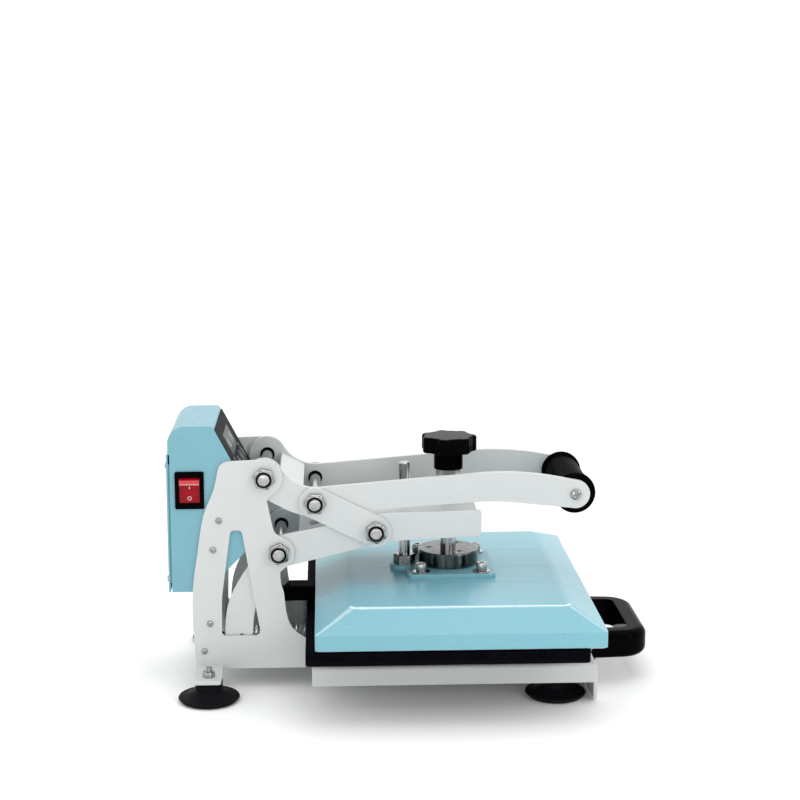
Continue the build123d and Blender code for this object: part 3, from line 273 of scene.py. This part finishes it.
# ---- mesh helpers ---------------------------------------------------------------------------------------
def build(name, verts, faces, materials, body, face_slots=None, place=Matrix.Identity(4), smooth=35):
    """A mesh piece in the machine's frame that rides on a body."""
    mesh = bpy.data.meshes.new(name)
    mesh.from_pydata([place @ Vector(v) for v in verts], [], faces)
    for material in materials:
        mesh.materials.append(material)
    if face_slots:
        mesh.polygons.foreach_set("material_index", face_slots)
    mesh.validate()
    mesh.update()
    mesh.polygons.foreach_set("use_smooth", [True] * len(mesh.polygons))
    mesh.set_sharp_from_angle(angle=math.radians(smooth))
    piece = bpy.data.objects.new(name, mesh)
    bpy.context.scene.collection.objects.link(piece)
    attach(piece, body)
    return piece


class Batch:
    """Collects copies of small solids into one piece."""

    def __init__(self):
        self.verts, self.faces, self.slots = [], [], []

    def add(self, verts, faces, place, slots=None):
        start = len(self.verts)
        self.verts += [place @ Vector(v) for v in verts]
        self.faces += [[start + i for i in face] for face in faces]
        self.slots += slots or [0] * len(faces)

    def piece(self, name, materials, body, slot, smooth=35):
        return build(name, self.verts, self.faces, materials, body, self.slots, smooth=smooth)


def lathe(rows, columns=72, row_slots=None):
    """Rings of (radius or radius of an angle, height), closed at both ends."""
    verts, faces, slots = [], [], []
    for radius, height in rows:
        for j in range(columns):
            angle = 2 * math.pi * j / columns
            r = radius(angle) if callable(radius) else radius
            verts.append((r * math.cos(angle), r * math.sin(angle), height))
    for i in range(len(rows) - 1):
        for j in range(columns):
            k = (j + 1) % columns
            faces.append([i * columns + j, i * columns + k, (i + 1) * columns + k, (i + 1) * columns + j])
            slots.append(row_slots[i] if row_slots else 0)
    faces.append(list(range(columns - 1, -1, -1)))
    faces.append([(len(rows) - 1) * columns + j for j in range(columns)])
    slots += [slots[0], slots[-1]]
    return verts, faces, slots


def hexagon(flats, limit=None):
    """Radius of a hexagon at an angle, cut by a cone's radius where one is given."""
    def radius(angle):
        sector = (angle + math.pi / 6) % (math.pi / 3) - math.pi / 6
        corner = flats / 2 / math.cos(sector)
        return min(corner, limit) if limit else corner
    return radius


# ---- pivot nuts, with nylon rings and bolt ends ---------------------------------------------------------
NUT_FLATS, NUT_H, BOLT_R = 17.0, 8.0, 5.12
CORNER = NUT_FLATS / math.sqrt(3)
NUT_ROWS = [
    (hexagon(NUT_FLATS, CORNER - 1.0), 0.0), (hexagon(NUT_FLATS, CORNER - 0.05), 0.75), (hexagon(NUT_FLATS), 1.1),
    (hexagon(NUT_FLATS), 4.4), (hexagon(NUT_FLATS, CORNER - 0.35), 4.9),
    (hexagon(NUT_FLATS, NUT_FLATS / 2 - 0.1), 5.8),
    (7.9, 5.9), (7.8, 7.2), (7.5, 7.7), (7.2, NUT_H), (6.85, 7.85), (6.8, 7.5), (5.2, 7.45),
]
NUT_SLOTS = [0] * 10 + [1, 1, 1]
BOLT_ROWS = [
    (BOLT_R - 0.1, 0.0), (BOLT_R - 0.1, 8.1), (BOLT_R - 0.5, 8.2), (BOLT_R - 0.05, 8.5), (BOLT_R - 0.45, 8.8),
    (BOLT_R - 0.1, 9.05), (BOLT_R - 0.5, 9.4), (BOLT_R - 1.1, 9.55),
]
NUT_COLUMNS, BOLT_COLUMNS = 96, 48


def pivot_hardware(name, points, body, base, replaced, shaft_half=None):
    """Nuts, each stopped at its own angle, and bolt ends on both flanks at each pivot point."""
    batch = Batch()
    for point in points:
        for side in (NEAR, FAR):
            place = side_face(point, side, base)
            spin = Matrix.Rotation(math.radians(17 + 23 * side + point[0] * 3), 4, "Z")
            verts, faces, slots = lathe(NUT_ROWS, NUT_COLUMNS, NUT_SLOTS)
            batch.add(verts, faces, place @ spin, slots)
            verts, faces, slots = lathe(BOLT_ROWS, BOLT_COLUMNS)
            batch.add(verts, faces, place, slots)
        if shaft_half:
            verts, faces, slots = lathe([(BOLT_R, -shaft_half), (BOLT_R, shaft_half)], BOLT_COLUMNS)
            batch.add(verts, faces, side_face(point, FAR, 0), slots)
    piece = batch.piece(name, [ZINC, NYLON], body, "plated_steel")
    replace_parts(piece, replaced)


pivot_hardware("frame_pivot_nuts_detail", [UPPER_PIVOT, LOWER_PIVOT], "frame", PLATE_OUT, "frame_pivot_nuts")
pivot_hardware("link_pivot_detail", [LINK_PIVOT], "platen_arm", PLATE_OUT + 0.1, "link_pivot_shaft",
               PLATE_OUT + 0.2)
pivot_hardware("link_end_detail", [CRANK_PIVOT], "links", PLATE_OUT, "link_end_bolts")


# ---- pan-head screws with a cross recess ----------------------------------------------------------------
def cross_head(radius, height, rings=16, columns=72):
    """A domed screw head as a height field with a cross sunk into it."""
    def top(x, y):
        r = math.hypot(x, y) / radius
        dome = height * (0.45 + 0.55 * math.sqrt(max(0.0, 1 - r ** 2.4)))
        arm, width = 0.62 * radius, 0.15 * radius
        inside = min(max(0.0, (arm - max(abs(x), abs(y))) / (0.12 * radius)), 1.0)
        inside *= min(max(0.0, (width - min(abs(x), abs(y))) / (0.07 * radius)), 1.0)
        return dome - 0.55 * height * inside

    def circle(r):
        angles = [2 * math.pi * j / columns for j in range(columns)]
        return [(r * math.cos(angle), r * math.sin(angle)) for angle in angles]

    verts, faces = [(0, 0, top(0, 0))], []
    for i in range(1, rings + 1):
        verts += [(x, y, top(x, y)) for x, y in circle(radius * (i / rings) ** 0.9)]
    verts += [(x, y, -0.1) for x, y in circle(radius)]
    for j in range(columns):
        k = (j + 1) % columns
        faces.append([0, 1 + j, 1 + k])
        for i in range(rings):
            a, b = 1 + i * columns, 1 + (i + 1) * columns
            faces.append([a + j, b + j, b + k, a + k])
    faces.append([1 + rings * columns + j for j in range(columns - 1, -1, -1)])
    return verts, faces


def screws(name, places, radius, height, body, slot, replaced):
    """Cross-recess screws on a list of placements, each turned a little differently."""
    batch = Batch()
    verts, faces = cross_head(radius, height)
    for number, place in enumerate(places):
        batch.add(verts, faces, place @ Matrix.Rotation(0.9 * number + 0.3, 4, "Z"))
    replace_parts(batch.piece(name, [ZINC], body, slot, smooth=50), replaced)


FRAME_SCREW_R, FRAME_SCREW_H = 2.8, 2.0
GRIP_SCREW_R, GRIP_SCREW_H = 4.8, 3.2
HANDLE_SCREW_R, HANDLE_SCREW_H = 4.6, 1.9
rear_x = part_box("rear_cover")[0].x * 1000 - BACK
behind = [facing(at(rear_x, y, z), (-1, 0, 0), (0, -1, 0)) for y, z in COVER_SCREWS]
flanks = [side_face(p, side, PLATE_OUT) for side in (NEAR, FAR) for p in SIDE_SCREWS]
screws("frame_screws_detail", flanks + behind, FRAME_SCREW_R, FRAME_SCREW_H, "frame", "plated_steel",
       "frame_screws")
grip_ends = [side_face(GRIP_CENTRE, side, ARM_OUT) for side in (NEAR, FAR)]
screws("grip_screws_detail", grip_ends, GRIP_SCREW_R, GRIP_SCREW_H, "handle", "plated_steel", "grip_screws")
inner_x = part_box("handle_screws")[0].x * 1000 - BACK + HANDLE_SCREW_H
inner_faces = [facing(at(inner_x, y, z), (-1, 0, 0), (0, -1, 0)) for y, z in HANDLE_SCREWS]
screws("handle_screws_detail", inner_faces, HANDLE_SCREW_R, HANDLE_SCREW_H, "drawer", "plated_steel",
       "handle_screws")


# ---- black rings of painted shade where the shafts pass the inner faces of the handle arms and lower arms ---
SHADE_RING_ROWS = [(5.1, 0.0), (6.4, 0.0), (6.4, 0.7), (6.2, 0.9), (5.1, 0.9)]


def shade_rings(name, points, body):
    """Thin black rings round the cross shafts, against the inner faces of the arms, standing in for the shade in
    the gap there.
    """
    batch = Batch()
    for point in points:
        for side in (NEAR, FAR):
            place = side_face(point, side, ARM_IN) @ Matrix.Rotation(math.pi, 4, "X")
            verts, faces, slots = lathe(SHADE_RING_ROWS, BOLT_COLUMNS)
            batch.add(verts, faces[:-2], place, slots[:-2])
    batch.piece(name, [BLACK], body, "dark_steel")


shade_rings("frame_shaft_shade_rings", [UPPER_PIVOT, LOWER_PIVOT], "frame")
shade_rings("crank_shaft_shade_rings", [CRANK_PIVOT], "handle")
shade_rings("link_shaft_shade_rings", [LINK_PIVOT], "platen_arm")

# ---- foot bolts with chamfered nuts and threaded ends ---------------------------------------------------
FEET = [(x, y) for x in (-60.0, 236.5) for y in (-83.0, 83.0)]
FOOT_TAB_TOP, FOOT_NUT_FLATS, THREAD_PITCH = 20.6, 9.0, 0.65
FOOT_ROWS = [
    (3.0, -14.0), (hexagon(FOOT_NUT_FLATS, 4.9), 0.0), (hexagon(FOOT_NUT_FLATS), 0.5),
    (hexagon(FOOT_NUT_FLATS), 4.4), (hexagon(FOOT_NUT_FLATS, 4.6), 5.0), (3.3, 5.05), (2.95, 5.1),
]
for level in range(5):
    FOOT_ROWS += [(2.6, 5.4 + THREAD_PITCH * level), (2.98, 5.7 + THREAD_PITCH * level)]
FOOT_ROWS += [(2.5, 8.7), (1.6, 8.9)]
feet = Batch()
for number, (x, y) in enumerate(FEET):
    verts, faces, slots = lathe(FOOT_ROWS, 48)
    spin = Matrix.Rotation(0.5 + 0.7 * number, 4, "Z")
    feet.add(verts, faces, upright(x, y, FOOT_TAB_TOP) @ spin, slots)
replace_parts(feet.piece("foot_bolts_detail", [ZINC], "frame", "plated_steel"), "foot_bolts")

# ---- knurled cap screws on the adapter plate and flat screws in the disc --------------------------------
ADAPTER_MIDDLE, SPINDLE_X, ADAPTER_TOP, DISC_TOP = 150.3, 149.5, 96.0, 109.6
CAP_REACH, CAP_WASHER, FLAT_CIRCLE, FLAT_SUNK = (26.5, 33.0), 1.2, 17.0, 2.2


def knurl(angle):
    """Radius of a knurled cap head."""
    return 4.55 + 0.13 * abs(math.sin(20 * angle))


CAP_ROWS = [
    (2.45, -22.0), (2.45, 0.0), (4.4, 0.0), (knurl, 0.3), (knurl, 6.4), (4.55, 6.6), (4.1, 7.15), (3.0, 7.2),
    (hexagon(4.4), 7.15), (hexagon(4.2), 6.9), (hexagon(4.2), 3.8),
]
FLAT_ROWS = [(3.8, 0.0), (3.8, 1.5), (3.6, 1.85), (2.2, 1.9), (hexagon(3.0), 1.85), (hexagon(3.0), 0.75)]
caps = Batch()
verts, faces, slots = lathe(CAP_ROWS, 160)
for number in range(4):
    x = ADAPTER_MIDDLE + CAP_REACH[0] * (-1 + 2 * (number % 2))
    y = CAP_REACH[1] * (-1 + 2 * (number // 2))
    spin = Matrix.Rotation(0.3 + 0.8 * number, 4, "Z")
    caps.add(verts, faces, upright(x, y, ADAPTER_TOP + CAP_WASHER) @ spin, slots)
verts, faces, slots = lathe(FLAT_ROWS, 48, [1] * 5)
for degrees in (60, 180, 300):
    x, y = FLAT_CIRCLE * math.cos(math.radians(degrees)), FLAT_CIRCLE * math.sin(math.radians(degrees))
    caps.add(verts, faces, upright(SPINDLE_X + x, y, DISC_TOP - FLAT_SUNK), slots)
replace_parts(caps.piece("adapter_screws_detail", [ZINC, DARK_STEEL], "hot_platen", "plated_steel"),
            "adapter_screws")

# ---- lift springs as coils ------------------------------------------------------------------------------
def tube(points, radius, sides=8):
    """A round wire along a list of points in millimetres."""
    verts, faces = [], []
    points = [Vector(p) for p in points]
    normal = Vector((0, 0, 1))
    for i, point in enumerate(points):
        ahead = (points[min(i + 1, len(points) - 1)] - points[max(i - 1, 0)]).normalized()
        normal = (normal - ahead * normal.dot(ahead)).normalized()
        other = ahead.cross(normal)
        for j in range(sides):
            angle = 2 * math.pi * j / sides
            verts.append(point + radius * (math.cos(angle) * normal + math.sin(angle) * other))
    for i in range(len(points) - 1):
        for j in range(sides):
            k = (j + 1) % sides
            faces.append([i * sides + j, i * sides + k, (i + 1) * sides + k, (i + 1) * sides + j])
    faces.append(list(range(sides - 1, -1, -1)))
    faces.append([(len(points) - 1) * sides + j for j in range(sides)])
    return verts, faces


SPRING_Y, COIL_R, WIRE_R, PITCH = 38.5, 5.6, 0.95, 3.9
HOOK_X, HOOK_END_Y, SPRING_Z, ANCHOR_X, HOOK_LENGTH = -33.0, 45.7, 46.0, 108.0, 9.0
TURN_POINTS, SMALLEST_TURN = 18, 0.35
coil_start, coil_end = HOOK_X + HOOK_LENGTH, ANCHOR_X - HOOK_LENGTH
turns = round((coil_end - coil_start) / PITCH)
for side, label in ((NEAR, "left"), (FAR, "right")):
    path = [(HOOK_X, side * HOOK_END_Y, SPRING_Z - 0.3), (HOOK_X, side * 44.0, SPRING_Z),
            (HOOK_X + 1.5, side * 41.0, SPRING_Z + 1.5)]
    steps = TURN_POINTS * turns
    for i in range(steps + 1):
        angle = 2 * math.pi * i / TURN_POINTS
        ease = min(1.0, 2 * i / TURN_POINTS, 2 * (steps - i) / TURN_POINTS)
        r = COIL_R * (SMALLEST_TURN + (1 - SMALLEST_TURN) * ease)
        x = coil_start + (coil_end - coil_start) * i / steps
        path.append((x, side * SPRING_Y + r * math.sin(angle), SPRING_Z + r * math.cos(angle)))
    path += [(ANCHOR_X - 4, side * SPRING_Y, SPRING_Z + 1.5), (ANCHOR_X + 1.0, side * SPRING_Y, SPRING_Z)]
    verts, faces = tube(path, WIRE_R)
    coil = build(f"lift_spring_{label}", verts, faces, [SPRING], "frame",
                 place=Matrix.Translation(at(0, 0, 0)) @ Matrix.Scale(MM, 4))
    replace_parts(coil, "lift_springs")
    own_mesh(coil)

# ---- rocker marks with painted highlights, and panel marks ----------------------------------------------
ROCKER_AXIS, ROCKER_RISE = (-75.5, -49.0, 176.0), 2.2
ROCKER_TILT, ROCKER_SLOPE = math.radians(10), math.radians(8)


def slab(points, low, high):
    """A thin flat solid over a convex outline."""
    n = len(points)
    verts = [(x, y, low) for x, y in points] + [(x, y, high) for x, y in points]
    faces = [list(range(n - 1, -1, -1)), list(range(n, 2 * n))]
    faces += [[i, (i + 1) % n, n + (i + 1) % n, n + i] for i in range(n)]
    return verts, faces


def bar(x, y, width, height):
    """Outline of an upright rectangle about a point."""
    return [(x - width / 2, y - height / 2), (x + width / 2, y - height / 2),
            (x + width / 2, y + height / 2), (x - width / 2, y + height / 2)]


def ring(batch, x, y, inner, outer, place, low, high, columns=32):
    """A flat ring made of short slabs."""
    for i in range(columns):
        a, b = 2 * math.pi * i / columns, 2 * math.pi * (i + 1) / columns
        corners = ((inner, a), (outer, a), (outer, b), (inner, b))
        outline = [(x + r * math.cos(t), y + r * math.sin(t)) for r, t in corners]
        batch.add(*slab(outline, low, high), place)


def rocker_face(end):
    """Placement on the upper (+1) or lower (-1) half of the rocker, in its rest position."""
    pivot = Matrix.Translation(at(*ROCKER_AXIS))
    turn = Matrix.Rotation(ROCKER_TILT, 4, "X") @ facing(Vector(), (0, -1, 0), (1, 0, 0))
    slope = Matrix.Rotation(end * ROCKER_SLOPE, 4, "X")
    return pivot @ turn @ Matrix.Translation((0, 0, ROCKER_RISE)) @ slope


SUNK, INK_TOP, HIGHLIGHT_LINE_TOP, LIT_STRIP_TOP = -0.02, 0.06, 0.10, 0.05
marks = Batch()
marks.add(*slab(bar(0, 3.0, 0.6, 2.8), SUNK, INK_TOP), rocker_face(1))
# Painted highlight: a pale line along the upper edge of the rocker face.
marks.add(*slab(bar(0, 6.0, 16.6, 0.45), SUNK, HIGHLIGHT_LINE_TOP), rocker_face(1))
ring(marks, 0, -6.6, 1.3, 1.75, rocker_face(-1), SUNK, INK_TOP)
# Painted highlight: a lighter red strip on the raised upper end of the rocker, where it catches the light.
lit_strip = slab(bar(0, 8.2, 17.0, 3.8), SUNK, LIT_STRIP_TOP)
marks.add(*lit_strip, rocker_face(1), [1] * len(lit_strip[1]))
marks.piece("rocker_marks_and_highlights", [PALE_INK_AND_HIGHLIGHT, RED_HIGHLIGHT], "mains_switch", "key_rubber")

slope_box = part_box("panel_overlay")
slope_middle = (slope_box[0] + slope_box[1]) / 2
PANEL_NORMAL = (0.88566, 0, 0.46434)
FILM_HALF = 0.4
PANEL_SUNK, PANEL_TOP, DIGIT_TOP = -0.01, 0.04, 0.05
KEYS_X, KEYS_Y, CAPTIONS_Y, SYMBOLS_Y = (-31, -12, 12, 31), -12, -21, -2.8
DIGITS_Y, DIGIT_SIZE, WIDE, THIN, TALL = 9, 3.6, 0.72, 0.16, 0.8
panel = facing(slope_middle, PANEL_NORMAL, (0, 1, 0)) @ Matrix.Translation((0, 0, FILM_HALF))
SEGMENTS = {"a": (0, 1, 1), "b": (0.5, 0.5, 0), "c": (0.5, -0.5, 0), "d": (0, -1, 1), "e": (-0.5, -0.5, 0),
            "f": (-0.5, 0.5, 0), "g": (0, 0, 1)}
DIGITS = {"0": "abcdef", "1": "bc", "5": "afgcd", "8": "abcdefg", "4": "fgbc"}
panel_marks = Batch()


def digit(character, x, y, size):
    """One seven-segment digit on the display window."""
    for name in DIGITS[character]:
        dx, dy, flat = SEGMENTS[name]
        wide, tall = (WIDE * size, THIN * size) if flat else (THIN * size, TALL * size)
        panel_marks.add(*slab(bar(x + dx * size, y + dy * size, wide, tall), 0.0, DIGIT_TOP), panel)


for character, x in (("1", -20), ("8", -14.5), ("0", -9), ("0", 8), ("4", 13.5), ("5", 19)):
    digit(character, x, DIGITS_Y, DIGIT_SIZE)
for x in KEYS_X:
    ring(panel_marks, x, KEYS_Y, 6.2, 6.6, panel, PANEL_SUNK, PANEL_TOP, 40)
    panel_marks.add(*slab(bar(x, CAPTIONS_Y, 6.0, 0.8), PANEL_SUNK, PANEL_TOP), panel)
ring(panel_marks, KEYS_X[0], SYMBOLS_Y, 1.0, 1.5, panel, PANEL_SUNK, PANEL_TOP, 24)
panel_marks.add(*slab(bar(KEYS_X[-1], SYMBOLS_Y, 2.2, 2.2), PANEL_SUNK, PANEL_TOP), panel)
panel_marks.piece("panel_marks", [PALE_INK_AND_HIGHLIGHT], "frame", "key_rubber")

# ---- floor, light and camera ----------------------------------------------------------------------------
FLOOR_HALF = 30
floor_corners = [(x * FLOOR_HALF, y * FLOOR_HALF, 0) for x, y in ((-1, -1), (1, -1), (1, 1), (-1, 1))]
floor_mesh = bpy.data.meshes.new("floor")
floor_mesh.from_pydata(floor_corners, [], [(0, 1, 2, 3)])
floor_mesh.materials.append(surface("floor", (0.90, 0.90, 0.90), 0.85, mottle=0.004, grain=0.02, edge=0.0001))
floor = bpy.data.objects.new("floor", floor_mesh)
bpy.context.scene.collection.objects.link(floor)

# The world is bright above and behind the machine and dark in front of it, so that gloss keeps its contrast.
BRIGHT_SIDE = (0.0, 0.55, 0.83)
world = bpy.data.worlds.new("studio")
bpy.context.scene.world = world
world.use_nodes = True
sky_nodes, sky_link = world.node_tree.nodes, world.node_tree.links.new
sky = sky_nodes["Background"]
direction = sky_nodes.new("ShaderNodeTexCoord")
toward = sky_nodes.new("ShaderNodeVectorMath")
toward.operation = "DOT_PRODUCT"
toward.inputs[1].default_value = BRIGHT_SIDE
ramp = sky_nodes.new("ShaderNodeMapRange")
sky_link(direction.outputs["Generated"], toward.inputs[0])
sky_link(toward.outputs["Value"], ramp.inputs["Value"])
for name, value in (("From Min", -0.45), ("From Max", 0.3), ("To Min", 0.06), ("To Max", 1.32)):
    ramp.inputs[name].default_value = value
sky_link(ramp.outputs["Result"], sky.inputs["Strength"])
sky.inputs["Color"].default_value = (1, 1, 1, 1)


def softbox(name, place, aim, size, power):
    """A rectangular area light aimed at a point."""
    light = bpy.data.lights.new(name, "AREA")
    light.shape = "RECTANGLE"
    light.size, light.size_y, light.energy = size[0], size[1], power
    lamp = bpy.data.objects.new(name, light)
    lamp.location = place
    lamp.rotation_euler = (Vector(aim) - Vector(place)).to_track_quat("-Z", "Y").to_euler()
    bpy.context.scene.collection.objects.link(lamp)


softbox("key", (-0.4, -2.3, 0.45), (0, 0, 0.06), (2.2, 0.6), 16)
softbox("top", (0.2, 0.1, 1.7), (0, 0, 0.1), (1.4, 1.0), 4)
softbox("fill", (1.3, -1.4, 0.8), (0, 0, 0.1), (0.4, 1.0), 6)

bpy.context.scene.view_settings.view_transform = "Standard"

# The camera solved from the photo.
YAW, PITCH_DOWN, LENS, SENSOR = math.radians(2.586), math.radians(10.171), 76.5, 36.0
CAMERA_PLACE = (-0.07235, -1.47134, 0.50797)
camera_data = bpy.data.cameras.new("camera")
camera_data.lens, camera_data.sensor_width = LENS, SENSOR
camera = bpy.data.objects.new("camera", camera_data)
camera.location = CAMERA_PLACE
level = math.cos(PITCH_DOWN)
looking = Vector((math.sin(YAW) * level, math.cos(YAW) * level, -math.sin(PITCH_DOWN)))
camera.rotation_euler = looking.to_track_quat("-Z", "Y").to_euler()
bpy.context.scene.collection.objects.link(camera)
bpy.context.scene.camera = camera
